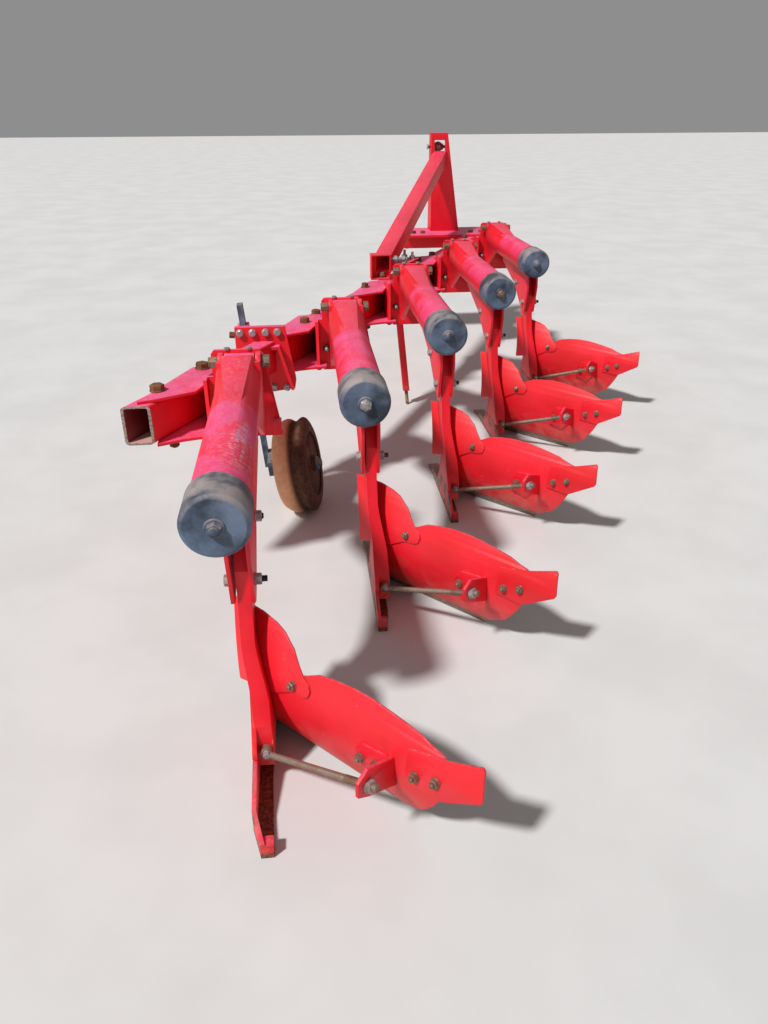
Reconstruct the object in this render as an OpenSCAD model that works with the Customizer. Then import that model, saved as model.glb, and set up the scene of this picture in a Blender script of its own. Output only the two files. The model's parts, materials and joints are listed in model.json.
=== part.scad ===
// Mounted mouldboard plough with five bodies on sprung trip arms.
// +Y is the way it travels, +X its right, +Z up. The origin is on the ground, below the middle
// of the whole; sizes in the modules are taken from a body's own trip pivot, at ground level.

/* [Layout] */
// Sideways step from one body to the next, one furrow's width
body_dx = 465; // [420:5:500]
// Lengthways step from one body to the next
body_dy = 885; // [840:5:920]
// Height of the trip pivots above the ground
pivot_z = 1022; // [1000:1:1040]

/* [Main beam] */
// Width of the beam tube, square to the beam
beam_w = 100; // [90:1:110]
// Height of the beam tube
beam_h = 160; // [150:1:170]
// Wall of the beam tube
beam_wall = 10; // [8:1:12]
// Radius of the beam tube's outer corners
beam_corner = 18; // [14:1:24]
// Height of the beam's top face above the ground
beam_top = 888; // [880:1:900]

/* [Trip arm] */
// Radius of the spring canister's tube
can_r = 86; // [80:1:90]
// Wall of the spring canister's tube
can_wall = 8; // [6:1:10]
// Height of the canister's axis above the ground
can_z = 945; // [940:1:950]
// Distance from the pivot back to the canister's rear end
can_back = 1195; // [1150:5:1250]
// Radius of the end cap
cap_r = 95; // [93:1:99]
// Length of the end cap
cap_l = 145; // [120:5:160]
// Thickness of the two cheeks that hold the leg
arm_cheek_t = 12; // [10:1:14]

/* [Leg and body] */
// Thickness of the leg
leg_t = 42; // [38:1:46]
// Sideways place of the leg beside the canister's axis
leg_x = 36; // [34:1:42]
// Thickness of the mouldboard
mould_t = 8; // [6:1:10]
// Radius of the mouldboard's rear face
mould_r = 450; // [440:1:460]
// Angle of the mouldboard to the line of travel
mould_angle = 43.8; // [40:0.1:48]
// Extra length of the rear body's landside
long_landside = 150; // [0:5:180]

/* [Depth wheel] */
// Radius of the depth wheel, over its two rounded ridges
wheel_r = 245; // [230:1:260]
// Width of the depth wheel to the left of its groove
wheel_left = 106; // [90:1:110]
// Width of the depth wheel to the right of its groove
wheel_right = 62; // [58:1:90]
// Lean of the depth wheel's top towards the left
wheel_camber = 9; // [5:0.5:11]
// Turn of the depth wheel's axle, its right end towards the rear
wheel_toe = 9; // [0:0.5:11]

/* [Headstock] */
// Height of the top link pin above the ground
top_pin_z = 1590; // [1550:5:1620]
// Height of the lower link pins above the ground
low_pin_z = 800; // [780:5:820]
// Distance between the shoulders of the lower link pins
low_pin_span = 825; // [800:5:850]

/* [Hidden] */
$fn = 96;

red = "#c4141c";
slate = "#3c454c";
rust = "#8c4a26";
steel = "#7d7a75";

bodies = 5;
middle = 3;
seat = 0.3;
eps = 1;
// A length past every piece, for cuts that leave only one side
far = 3000;

beam_angle = atan(body_dx / body_dy);
beam_x = beam_w / cos(beam_angle);
beam_base = beam_top - beam_h;
beam_mid_z = beam_top - beam_h / 2;
beam_centre_x0 = -353;
beam_rear_y = -95;
plate_t = 12;
// Rear face of the headstock's cross tube
tube_y = 2440;

function body_at(k) = [(k - middle) * body_dx, (k - middle) * body_dy, 0];
// Sideways place of the beam's centre line, beside body k's own pivot, at a distance y in front of it
function beam_x_at(y) = beam_centre_x0 + y * tan(beam_angle);

module at_body(k) {
    translate(body_at(k)) children();
}

// A plate lying flat, from an outline seen from above
module flat_plate(points, z, t) {
    translate([0, 0, z]) linear_extrude(t) polygon(points);
}

// A plate standing fore and aft, from an outline of [y, z] points, its left face at x
module side_plate(points, x, t) {
    translate([x, 0, 0]) rotate([90, 0, 90]) linear_extrude(t) polygon(points);
}

// A plate standing across, from an outline of [x, z] points, its rear face at y
module cross_plate(points, y, t) {
    translate([0, y + t, 0]) rotate([90, 0, 0]) linear_extrude(t) polygon(points);
}

// A round bar along X
module x_bar(r, x0, x1, y, z) {
    translate([x0, y, z]) rotate([0, 90, 0]) cylinder(r = r, h = x1 - x0);
}

// A round bar along Y
module y_bar(r, y0, y1, x, z) {
    translate([x, y0, z]) rotate([-90, 0, 0]) cylinder(r = r, h = y1 - y0);
}

// Beam: an oblong tube at the furrow angle, cut square to the line of travel at both ends

flange_y = 800;
flange_t = 18;
beam_front_y = tube_y - seat - body_at(1)[1];

// An oblong with round corners, about the origin
module rounded_oblong(w, h, r) {
    square([w, h - 2 * r], center = true);
    square([w - 2 * r, h], center = true);
    for (x = [r - w / 2, w / 2 - r], y = [r - h / 2, h / 2 - r]) translate([x, y]) circle(r);
}

module beam_tube(y0, y1) {
    past = beam_w;
    start = (y0 - past) / cos(beam_angle);
    run = (y1 - y0 + 2 * past) / cos(beam_angle);
    intersection() {
        translate([beam_centre_x0, 0, beam_mid_z]) rotate([0, 0, -beam_angle]) rotate([-90, 0, 0])
            translate([0, 0, start]) linear_extrude(run) difference() {
                rounded_oblong(beam_w, beam_h, beam_corner);
                rounded_oblong(beam_w - 2 * beam_wall, beam_h - 2 * beam_wall, beam_corner - beam_wall);
            }
        translate([-far, y0, 0]) cube([3 * far, y1 - y0, far]);
    }
}

flange_outline = [[-76, 700], [-76, 958], [165, 958], [178, 880], [208, 690], [200, 645], [76, 630],
    [-20, 660]];
// Rib along the flange's right edge, and the plate that joins its top to the beam
rib_outline = [[121, 870], [136, 870], [197, 650], [182, 648]];
rib_depth = 41;
rib_top = [80, 854];
rib_top_size = [50, 15];

module flange(y) {
    cross_plate(flange_outline, y, flange_t);
}

module beam_rear() {
    back = flange_y - flange_t;
    color(red) at_body(1) union() {
        beam_tube(beam_rear_y, back);
        flange(back);
        cross_plate(rib_outline, back - rib_depth, rib_depth + eps);
        translate([rib_top[0], back - rib_depth, rib_top[1]])
            cube([rib_top_size[0], rib_depth + eps, rib_top_size[1]]);
    }
}

module beam_front() {
    color(red) at_body(1) union() {
        beam_tube(flange_y + flange_t + seat, beam_front_y);
        flange(flange_y + seat);
        shank_clamp();
    }
}

// Clamp for the depth wheel's shank, on the front of the front flange

shank_foot = [15, 850, 186];
shank_lean = 5.05;
shank_size = [27, 60, 866];
clamp_wall = 14;

module shank_frame() {
    translate(shank_foot) rotate([0, -shank_lean, 0]) children();
}

module shank_clamp() {
    shank_frame() difference() {
        translate([-clamp_wall - seat, flange_y + flange_t - shank_foot[1], 516])
            cube([shank_size[0] + 2 * clamp_wall + 2 * seat, 44 + shank_size[1], 250]);
        translate([-seat, -seat, 500]) cube([shank_size[0] + 2 * seat, shank_size[1] + 2 * seat, 300]);
    }
}

// Bracket: two plates that clamp the beam, and a box that reaches right to carry the trip pivot

pin_r = 20;
pin_fit = 0.05;
lug_x0 = -55;
lug_x1 = 59;
lug_r = 32;
back_y = 46;
back_t = 16;
cheek_t = 14;
web_x = -24;
seat_y = -20;
box_x = -148;
box_top = 950;
box_front = 330;
bracket_top_outline = [[-395, -80], [-338, -60], [-183, 26], [-127, 200], [-110, 373], [-142, 373],
    [-231, 354], [-345, 57]];
bracket_base_outline = [[-340, -90], [-242, -48], [-189, -33], [-103, -20], [-95, 46], [90, 46], [90, 62],
    [-95, 300], [-110, 373], [-240, 373], [-345, 57]];
bracket_back_outline = [[-113, 690], [-113, 1040], [-100, 1056], [70, 1056], [92, 1034], [150, 704],
    [146, 690]];

module bracket() {
    plates_z = [beam_base - seat - plate_t, beam_top + seat];
    difference() {
        union() {
            flat_plate(bracket_base_outline, plates_z[0], plate_t);
            flat_plate(bracket_top_outline, plates_z[1], plate_t);
            cross_plate(bracket_back_outline, back_y, back_t);
            side_plate([[0, plates_z[0]], [0, box_top], [60, box_top], [box_front, beam_top],
                [box_front, plates_z[0]]], box_x, cheek_t);
            translate([box_x, back_y, plates_z[0]]) cube([60, back_t, box_top - plates_z[0]]);
            side_plate([[back_y, 1040], [back_y + 40, 1040], [300, plates_z[0] + 40], [300, plates_z[0]],
                [back_y, plates_z[0]]], web_x, cheek_t);
            flat_plate([[box_x, back_y], [90, back_y], [90, back_y + back_t], [-70, 300], [box_x, box_front]],
                plates_z[1], plate_t);
            x_bar(lug_r, lug_x0, lug_x1, 0, pivot_z);
            translate([lug_x0, 0, pivot_z - lug_r]) cube([lug_x1 - lug_x0, back_y + eps, lug_r + 18]);
            translate([-45, seat_y + seat, 770]) cube([90, back_y - seat_y, 60]);
            translate([112, 4, 722]) cube([34, back_y, 44]);
        }
        x_bar(pin_r + pin_fit, lug_x0 - eps, lug_x1 + eps, 0, pivot_z);
        clear_of_beam();
    }
}

// The space of the beam, as seen from one body, for what is welded round it
module clear_of_beam() {
    y0 = -400;
    y1 = 900;
    half = beam_x / 2 + seat;
    x0 = beam_x_at(y0);
    x1 = beam_x_at(y1);
    flat_plate([[x0 - half, y0], [x0 + half, y0], [x1 + half, y1], [x1 - half, y1]],
        beam_base - seat, beam_h + 2 * seat);
}

// The second bracket from the rear is cut short in front of the beam's flanges
module brackets() {
    color(red) difference() {
        for (k = [1:bodies]) at_body(k) bracket();
        at_body(1) translate([-100, 600, 600]) cube([500, flange_y - 600 + flange_t + 2 * seat, 400]);
    }
}

// Trip arm: canister tube, boxed head with two ears on the pivot pin, and two cheeks below for the leg

ear_x0 = -80;
ear_x1 = 84;
ear_t = 20;
ear_r = 36;
head_back = -470;
head_wall = 16;
// Play beside the leg, between it and the left cheek
cheek_gap = 8;
head_side = [[seat_y, 760], [seat_y, 860], [-67, 1066], [head_back, 1024], [head_back, can_z], [-120, 760]];
head_inside = [[seat_y - head_wall, 740], [seat_y - head_wall, 860], [-81, 1050], [-400, 1000], [-400, 740]];
// Three points of each of the head's two slanting upper sides: left, then right
head_slants = [[[-62, -57, 1066], [-80, -345, 955], [-24, head_back, 1024]],
    [[56, -57, 1066], [33, head_back, 1024], [84, -345, 955]]];
cheek_outline = [[-300, 900], [-1040, 900], [-1062, 760], [-1020, 578], [-1000, 570], [-930, 590],
    [-700, 720], [-320, 820]];

// All that lies beyond the plane through three points, moved inwards by a depth
module beyond(points, depth) {
    n = cross(points[1] - points[0], points[2] - points[0]);
    translate(points[0]) rotate([0, acos(n[2] / norm(n)), atan2(n[1], n[0])])
        translate([-1000, -1000, -depth]) cube([2000, 2000, 1000]);
}

module head() {
    x0 = ear_x0;
    width = ear_x1 - ear_x0;
    difference() {
        side_plate(head_side, x0, width);
        difference() {
            side_plate(head_inside, x0 + head_wall, width - 2 * head_wall);
            for (points = head_slants) beyond(points, head_wall);
        }
        for (points = head_slants) beyond(points, 0);
    }
    for (x = [ear_x0, ear_x1 - ear_t]) ear(x);
}

module ear(x) {
    x_bar(ear_r, x, x + ear_t, 0, pivot_z);
    side_plate([[ear_r, pivot_z], [-110, 1050], [-110, 860], [seat_y, 860]], x, ear_t);
}

module arm() {
    color(red) difference() {
        union() {
            y_bar(can_r, -can_back, -70, 0, can_z);
            head();
            x_bar(pin_r, -112, 118, 0, pivot_z);
            for (x = [leg_x - leg_t / 2 - seat - cheek_gap - arm_cheek_t, leg_x + leg_t / 2 + seat]) {
                side_plate(cheek_outline, x, arm_cheek_t);
            }
        }
        y_bar(can_r - can_wall, -can_back - eps, -82, 0, can_z);
    }
}

module cap() {
    bevel = 12;
    color(slate) difference() {
        translate([0, -can_back - 20, can_z]) rotate([-90, 0, 0]) union() {
            cylinder(r1 = cap_r - bevel, r2 = cap_r, h = bevel);
            translate([0, 0, bevel]) cylinder(r = cap_r, h = cap_l - bevel);
        }
        y_bar(can_r + seat, -can_back - seat, -can_back + cap_l, 0, can_z);
    }
}

landside_t = 14;

// Leg: a thick flat bar from the cheeks down to the frog that carries the body

foot_x = 69;
leg_outline = [[-700, 790], [-960, 800], [-1020, 690], [-1012, 585], [-1062, 430], [-1095, 300], [-1150, 205],
    [-1165, 150], [-1165, 60], [-640, 40], [-640, 200], [-860, 420], [-860, 560], [-780, 680]];
frog_outline = [[-1092, 300], [-1148, 205], [-1200, 150], [-1210, 130], [-760, 130], [-860, 200],
    [-1000, 300]];

module leg() {
    half = leg_t / 2;
    low = foot_x - 25;
    color(red) difference() {
        union() {
            intersection() {
                side_plate(leg_outline, -20, 160);
                cross_plate([[leg_x - half, 820], [leg_x + half, 820], [leg_x + half, 450],
                    [leg_x + half + 7, 400], [low + 44, 270], [low + 50, 150], [low + 50, 30], [low, 30],
                    [low, 150], [low - 10, 270], [leg_x - half + 4, 400], [leg_x - half, 450]], -1300, 700);
            }
            side_plate(frog_outline, low - landside_t, landside_t + eps);
        }
        within_roll(mould_r + seat, 0, 222);
        within_roll(mould_r + 2 * seat + trash_t, 221, 540);
        translate([-100, -720, -1]) cube([300, 200, 400]);
    }
}

// Mouldboard, trash board and tail plate: pieces of one rolled shell about a level axis.
// Their outlines are [s, z], with s along that axis, towards the tail.

// Middle of the roll where the rear face has the radius roll_r; with another radius the middle moves,
// and the rear face stays where the leg carries it
roll_r = 450;
roll_middle = [596, -917];
roll_centre = roll_middle + (mould_r - roll_r) * [cos(mould_angle), sin(mould_angle)];
roll_z = 285;
shin_x = foot_x - 25 - landside_t;
trash_x = -14;
trash_t = 6;
tail_t = 8;
share_top = 50;

module roll_frame() {
    translate([roll_centre[0], roll_centre[1], 0]) rotate([0, 0, mould_angle - 90]) children();
}

// All that lies on the soil side of a rolled face, between two heights
module within_roll(r, z0, z1) {
    intersection() {
        roll_frame() translate([-1200, 0, roll_z]) rotate([0, 90, 0]) cylinder(r = r, h = 2000, $fn = 180);
        translate([-600, -2000, z0]) cube([1800, 2000, z1 - z0]);
    }
}

module rolled(r, t, points, left_x) {
    intersection() {
        roll_frame() intersection() {
            translate([-700, 0, roll_z]) rotate([0, 90, 0]) difference() {
                cylinder(r = r, h = 1500, $fn = 180);
                translate([0, 0, -eps]) cylinder(r = r - t, h = 1500 + 2 * eps, $fn = 180);
            }
            translate([0, -20, 0]) rotate([90, 0, 0]) linear_extrude(r) polygon(points);
        }
        translate([left_x, -2000, 0]) cube([1000, 2000, 700]);
    }
}

mould_outline = [[-600, share_top], [232, share_top], [314, 102], [352, 148], [380, 189], [405, 234],
    [416, 300], [413, 385], [375, 394], [332, 408], [262, 418], [207, 424], [151, 429], [76, 429], [-1, 420],
    [-60, 408], [-107, 384], [-195, 345], [-600, 345]];
trash_outline = [[-560, 228], [-400, 228], [-229, 265], [-161, 305], [-105, 312], [-88, 322], [-79, 345],
    [-85, 362], [-107, 379], [-133, 408], [-164, 447], [-215, 480], [-257, 493], [-326, 503], [-400, 505],
    [-560, 500]];
tail_outline = [[292, 244], [405, 238], [538, 322], [544, 334], [534, 416], [526, 424], [428, 390],
    [300, 360]];

module mouldboard() {
    color(red) {
        rolled(mould_r, mould_t, mould_outline, shin_x);
        rolled(mould_r + seat + trash_t, trash_t, trash_outline, trash_x);
        rolled(mould_r + seat + tail_t, tail_t, tail_outline, shin_x);
    }
}

// Share: a wedge-shaped blade under the mouldboard's lower edge, and a point ahead of it

// Distance from the roll's middle to the mouldboard's rear face at the share's top, in whole millimetres
share_run = floor(sqrt(pow(mould_r, 2) - pow(roll_z - share_top, 2)));
share_profile = [[0, share_top - seat], [36, 0], [93, 0], [mould_t, share_top - seat]];
share_plan = [[-800, -17], [232, -17], [130, 103], [-800, 103]];
point_w = 58;
point_outline = [[-850, 26], [-850, 49], [-760, 47], [-600, 14], [-560, 0], [-700, 0]];

module share() {
    color(steel) union() {
        intersection() {
            roll_frame() translate([0, -share_run, 0]) intersection() {
                side_plate(share_profile, -800, 1100);
                flat_plate(share_plan, 0, 100);
            }
            translate([shin_x, -2000, 0]) cube([1000, 2000, 100]);
        }
        side_plate(point_outline, shin_x, point_w);
    }
}

// Landside: a bar along the furrow wall, left of the leg, with a foot along its lower edge and a heel

landside_h = 129;
landside_front = -740;
landside_back = -1312;
// Where the landside's top edge starts to slope down towards the heel, and its height there
landside_bend = -1178;
heel_h = 56;
landside_flange = 12;
// Sideways turn of a lengthened landside's rear end, for each millimetre that it is longer
heel_turn = 0.17;
// Length of the rear end that turns
heel_l = 100;

module landside(extra) {
    x0 = shin_x;
    back = landside_back - extra;
    heel_x = x0 + heel_turn * extra;
    wall = landside_t - seat;
    turn_y = back + heel_l;
    color(rust) difference() {
        union() {
            intersection() {
                side_plate([[back, 0], [back, heel_h], [landside_bend, landside_h],
                    [landside_front, landside_h], [landside_front, 0]], x0 - 50, 200);
                flat_plate([[heel_x, back], [heel_x + wall, back], [x0 + wall, turn_y],
                    [x0 + wall, landside_front], [x0, landside_front], [x0, turn_y]], 0, landside_h);
            }
            flat_plate([[heel_x, back], [heel_x + 38, back], [x0 + 54, landside_bend],
                [x0 + 62, landside_front], [x0, landside_front], [x0, turn_y]], 0, landside_flange);
            translate([heel_x, back, 0]) cube([38, 36, heel_h - 6]);
        }
        within_roll(mould_r + seat, 0, 300);
    }
}

// Stay: a round rod from the leg to a lug on the mouldboard, through a hole in the lug's flange

stay_off = mould_r + 111;
stay_start = [-168, 124];
stay_end = [283, 291];
stay_r = 11;
// Eye at the stay's end, bolted to the back of the leg
eye_r = 20;
eye_z = 128;
eye_t = 27;
leg_back = -1165;
lug_t = 8;
lug_outline = [[89, 160], [108, 249], [134, 279], [221, 288], [238, 274], [238, 215], [170, 140]];
lug_flange_s = 237;
lug_flange_t = 12;
lug_flange = [[10, 180], [10, 290], [-110, 335], [-150, 310], [-150, 260], [-110, 235]];

module stay_rod(r) {
    slope = atan2(stay_end[1] - stay_start[1], stay_end[0] - stay_start[0]);
    roll_frame() translate([stay_start[0], -stay_off, stay_start[1]]) rotate([0, 90 - slope, 0])
        cylinder(r = r, h = norm(stay_end - stay_start));
}

module lug() {
    color(red) difference() {
        union() {
            rolled(mould_r + seat + lug_t, lug_t, lug_outline, shin_x);
            roll_frame() translate([0, -mould_r, 0]) side_plate(lug_flange, lug_flange_s, lug_flange_t);
        }
        within_roll(mould_r + seat, 0, 400);
        stay_rod(stay_r + seat);
    }
}

module stay() {
    color(steel) union() {
        stay_rod(stay_r);
        y_bar(eye_r, leg_back - eye_t, leg_back - seat, foot_x + 4, eye_z);
    }
}

// Depth wheel on a flat bar clamped at the flange

wheel_x = 215;
wheel_y = 722;
axle_r = 20;
hub_r = 42;
hub_past = 6;
axle_past = 40;
axle_inside = 178;
collar_r = 34;
collar_t = 12;
rim_t = 8;
rim_depth = 78;
disc_t = 12;
// The tread's two ridges: their distance from the groove, its depth, and the fall of the slopes beyond them
ridge_at = 38;
groove_depth = 18;
tread_fall = 36;
tread_step = 8;

// Radius of the tread at a distance w to the right of its groove
function tread(w) = abs(w) < ridge_at ? wheel_r - groove_depth * (1 + cos(180 * w / ridge_at)) / 2
    : wheel_r - tread_fall * pow((abs(w) - ridge_at) / ((w < 0 ? wheel_left : wheel_right) - ridge_at), 2);

// Height of the leaning wheel's centre when its tread touches the ground
wheel_z = max([for (w = [-wheel_left:tread_step:wheel_right])
    tread(w) * cos(wheel_camber) - w * sin(wheel_camber)]);

// The wheel's own frame, with its axle along Z
module wheel_frame() {
    translate([wheel_x, wheel_y, wheel_z]) rotate([0, 0, -wheel_toe]) rotate([0, 90 - wheel_camber, 0])
        children();
}

module wheel_shank() {
    arm_x = shank_size[0] - eps;
    color(slate) at_body(1) union() {
        shank_frame() cube(shank_size);
        shank_frame() translate([arm_x, -130, 4]) cube([24, 130 + shank_size[1], 76]);
        wheel_frame() translate([0, 0, -axle_inside])
            cylinder(r = axle_r, h = axle_inside + wheel_right + axle_past);
        wheel_frame() translate([0, 0, wheel_right + hub_past + 4]) cylinder(r = collar_r, h = collar_t);
    }
}

module depth_wheel() {
    left = -wheel_left;
    right = wheel_right;
    hub_w = wheel_left + wheel_right + 2 * hub_past;
    color(rust) at_body(1) wheel_frame() difference() {
        union() {
            rotate_extrude() polygon(concat([for (w = [left:tread_step:right]) [tread(w), w]],
                [[wheel_r - rim_depth, right], [wheel_r - rim_depth, right - rim_t]],
                [for (w = [right - rim_t:-tread_step:left + rim_t]) [tread(w) - rim_t, w]],
                [[wheel_r - rim_depth, left + rim_t], [wheel_r - rim_depth, left]]));
            translate([0, 0, -disc_t / 2]) cylinder(r = tread(0) - rim_t / 2, h = disc_t);
            translate([0, 0, left - hub_past]) cylinder(r = hub_r, h = hub_w);
        }
        translate([0, 0, left - hub_past - eps]) cylinder(r = axle_r + pin_fit, h = hub_w + 2 * eps);
    }
}

// Parking stand: a square tube hung from the frame, with a sliding rod inside

stand_x = -18;
stand_y = 500;
stand_z = 620;
stand_lean = 5.9;
stand_tube_w = 44;
stand_rod_r = 12;
stand_low = 105;
// Length of the rod's way up inside its tube
stand_travel = 290;

module stand_frame() {
    translate([stand_x, stand_y, stand_z]) rotate([0, -stand_lean, 0]) children();
}

module stand_tube() {
    color(red) flat_plate([[-120, 440], [20, 440], [20, 550], [-60, 550]], beam_base - seat - 8, 8);
    color(red) difference() {
        intersection() {
            stand_frame() translate([-stand_tube_w / 2, -stand_tube_w / 2, -600])
                cube([stand_tube_w, stand_tube_w, 900]);
            translate([-far, 0, stand_low]) cube([2 * far, far, beam_base - seat - 8 - stand_low + eps]);
        }
        stand_frame() translate([0, 0, -700]) cylinder(r = stand_rod_r + pin_fit, h = 780);
    }
}

module stand_leg() {
    color(rust) intersection() {
        stand_frame() translate([0, 0, -650]) cylinder(r = stand_rod_r, h = 650 + 80 - stand_travel);
        translate([-far, 0, 0]) cube([2 * far, far, far]);
    }
}

// Headstock: base plate on the beam, tapered mast, cross shaft with the lower link pins, and a brace

base_t = 20;
base_z = beam_top + seat;
mast_z = base_z + base_t + seat;
mast_back = tube_y + 40;
mast_plate = 14;
mast_depth = 190;
// Left and right edges of the mast, at its foot and at its head
mast_foot = [512, 764];
mast_head = [500, 642];
mast_side = 16;
mast_top = top_pin_z + 110;
window_x = 530;
window_w = 90;
window_h = 84;
tube_x = 266;
tube_l = 740;
tube_w = 120;
tube_wall = 10;
hitch_y = tube_y + 200;
hitch_front = hitch_y + 60;
hitch_x = 650;
shaft_r = 30;
link_pin_r = 14;
link_pin_l = 110;
top_bore_r = 12.8;
top_bore_y = mast_back + 90;
base_back = tube_y - 205;
base_outline = [[265, base_back], [990, base_back], [1040, hitch_front], [284, hitch_front]];
hanger_t = 20;
// Left faces of the three hangers
hangers_x = [tube_x + 34, hitch_x - hanger_t, tube_x + tube_l - 36];
hanger_outline = [[tube_y + tube_w - eps, 748], [tube_y + tube_w - eps, base_z + eps],
    [hitch_front, base_z + eps], [hitch_front, 800], [hitch_front - 30, 752]];

module headstock_base() {
    color(red) difference() {
        union() {
            flat_plate(base_outline, base_z, base_t);
            translate([tube_x, tube_y, base_z - tube_w + eps]) cube([tube_l, tube_w, tube_w]);
            for (x = hangers_x) side_plate(hanger_outline, x, hanger_t);
        }
        translate([tube_x + tube_wall, tube_y + tube_wall, base_z - tube_w + eps + tube_wall])
            cube([tube_l + tube_wall, tube_w - 2 * tube_wall, tube_w - 2 * tube_wall - eps]);
        x_bar(shaft_r + seat, tube_x, tube_x + tube_l, hitch_y, low_pin_z);
    }
}

// A slab of the mast, between its left and right edges at the foot and at the head
module mast_slab(foot, top, depth) {
    cross_plate([[foot[0], mast_z], [foot[1], mast_z], [top[1], mast_top], [top[0], mast_top]],
        mast_back, depth);
}

module mast() {
    color(red) difference() {
        intersection() {
            union() {
                mast_slab(mast_foot, mast_head, mast_plate);
                for (x = [[mast_foot[0], mast_head[0]], [mast_foot[1] - mast_side, mast_head[1] - mast_side]])
                    mast_slab([x[0], x[0] + mast_side], [x[1], x[1] + mast_side], mast_depth);
                cross_plate([[mast_head[0], mast_top - 50], [mast_head[1] + 8, mast_top - 50],
                    [mast_head[1], mast_top], [mast_head[0], mast_top]], mast_back, mast_depth - 100);
            }
            side_plate([[mast_back, mast_z], [mast_back + mast_depth, mast_z], [mast_back + 110, mast_top],
                [mast_back, mast_top]], tube_x, tube_l);
        }
        translate([window_x, mast_back - eps, top_pin_z - 30])
            cube([window_w, mast_plate + 2 * eps, window_h]);
        x_bar(top_bore_r, tube_x, tube_x + tube_l, top_bore_y, top_pin_z);
    }
}

module cross_shaft() {
    half = low_pin_span / 2;
    color(red) union() {
        x_bar(shaft_r, hitch_x - half, hitch_x + half, hitch_y, low_pin_z);
        x_bar(link_pin_r, hitch_x - half - link_pin_l, hitch_x + half + link_pin_l, hitch_y, low_pin_z);
    }
}

brace_foot = [-147, 440, 967];
brace_head = [575, mast_back, 1500];
brace_w = 110;
brace_wall = 8;
foot_w = 130;
foot_h = 158;
foot_l = 90;

module brace_tube(w, extra) {
    v = brace_head - brace_foot;
    run = norm(v);
    translate(brace_foot) rotate([0, acos(v[2] / run), atan2(v[1], v[0])])
        translate([-w / 2, -w / 2, -extra]) cube([w, w, run + 2 * extra]);
}

module brace() {
    hollow_w = foot_w - 2 * brace_wall;
    foot_z = beam_top + seat;
    color(red) difference() {
        union() {
            intersection() {
                brace_tube(brace_w, 200);
                translate([-far, brace_foot[1] + 30, foot_z])
                    cube([2 * far, mast_back - seat - brace_foot[1] - 30, far]);
            }
            translate([brace_foot[0] - foot_w / 2, brace_foot[1], foot_z]) cube([foot_w, foot_l, foot_h]);
        }
        intersection() {
            brace_tube(brace_w - 2 * brace_wall, 300);
            translate([-far, brace_foot[1] + 28, 0]) cube(2 * far);
        }
        translate([brace_foot[0] - hollow_w / 2, brace_foot[1] - eps, foot_z + brace_wall])
            cube([hollow_w, foot_l - 2 * brace_wall, foot_h - 2 * brace_wall]);
    }
}

// Middle of the whole plough, seen from above
plan_centre = [97.6, -347.5];

translate([-plan_centre[0], -plan_centre[1], 0]) {
    beam_front();
    beam_rear();
    brackets();
    headstock_base();
    mast();
    cross_shaft();
    brace();
    wheel_shank();
    depth_wheel();
    stand_tube();
    stand_leg();
    for (k = [1:bodies]) at_body(k) {
        arm();
        cap();
        leg();
        mouldboard();
        share();
        landside(k == 1 ? long_landside : 0);
        lug();
        stay();
    }
}
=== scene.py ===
import json
import math

import bmesh
import bpy
from mathutils import Matrix, Vector

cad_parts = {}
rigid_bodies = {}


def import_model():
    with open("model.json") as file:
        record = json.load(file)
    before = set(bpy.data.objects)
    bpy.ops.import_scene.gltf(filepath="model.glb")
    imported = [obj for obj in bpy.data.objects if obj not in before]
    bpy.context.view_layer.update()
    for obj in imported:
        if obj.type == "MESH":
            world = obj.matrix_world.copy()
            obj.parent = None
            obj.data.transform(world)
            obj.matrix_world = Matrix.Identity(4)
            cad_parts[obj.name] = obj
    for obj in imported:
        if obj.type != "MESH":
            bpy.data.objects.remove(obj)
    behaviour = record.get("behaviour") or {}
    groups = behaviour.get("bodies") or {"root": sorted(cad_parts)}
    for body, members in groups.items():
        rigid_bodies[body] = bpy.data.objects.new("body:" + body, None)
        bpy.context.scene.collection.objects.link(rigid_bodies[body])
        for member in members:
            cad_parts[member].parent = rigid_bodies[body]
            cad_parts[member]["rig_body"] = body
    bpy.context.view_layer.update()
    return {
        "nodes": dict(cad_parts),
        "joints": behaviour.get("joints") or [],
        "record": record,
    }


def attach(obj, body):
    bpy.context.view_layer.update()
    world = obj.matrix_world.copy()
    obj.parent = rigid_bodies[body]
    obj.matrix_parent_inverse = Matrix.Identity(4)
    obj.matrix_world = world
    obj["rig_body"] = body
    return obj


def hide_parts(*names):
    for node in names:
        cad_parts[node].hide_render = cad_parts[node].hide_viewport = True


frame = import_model()

MM = 0.001
BODIES = range(1, 6)
REAR_BODY = 1
MIDDLE_BODY = 3

LEFT = (-1, 0, 0)
RIGHT = (1, 0, 0)
BACK = (0, -1, 0)
AHEAD = (0, 1, 0)
UP = (0, 0, 1)
DOWN = (0, 0, -1)


# Places and axes read from the frame, in metres


def joint_named(name):
    return next(joint for joint in frame["joints"] if joint["name"] == name)


PIVOTS = {k: Vector(joint_named(f"trip_{k}_pivot")["pos_m"]) for k in BODIES}
STEP = PIVOTS[2] - PIVOTS[1]
BEAM_TURN = math.atan2(STEP.x, STEP.y)
WHEEL_PLACE = Vector(joint_named("wheel_spin")["pos_m"])
WHEEL_AXIS = Vector(joint_named("wheel_spin")["axis"])
SLOTS = {entry["node"]: entry["material_slot"] for entry in frame["record"]["subparts"]}


# Sizes repeated from the part's source, in millimetres, beside a body's own trip pivot

PIVOT_Z = 1022
CANISTER_Z = 945
HEAD_BACK = -470
BEAM_REAR = -95
BEAM_CENTRE_X = -353
BEAM_MID_Z = 808
# Half the width and half the height of the space inside the beam's tube
BEAM_INSIDE = (40, 70)
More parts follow.
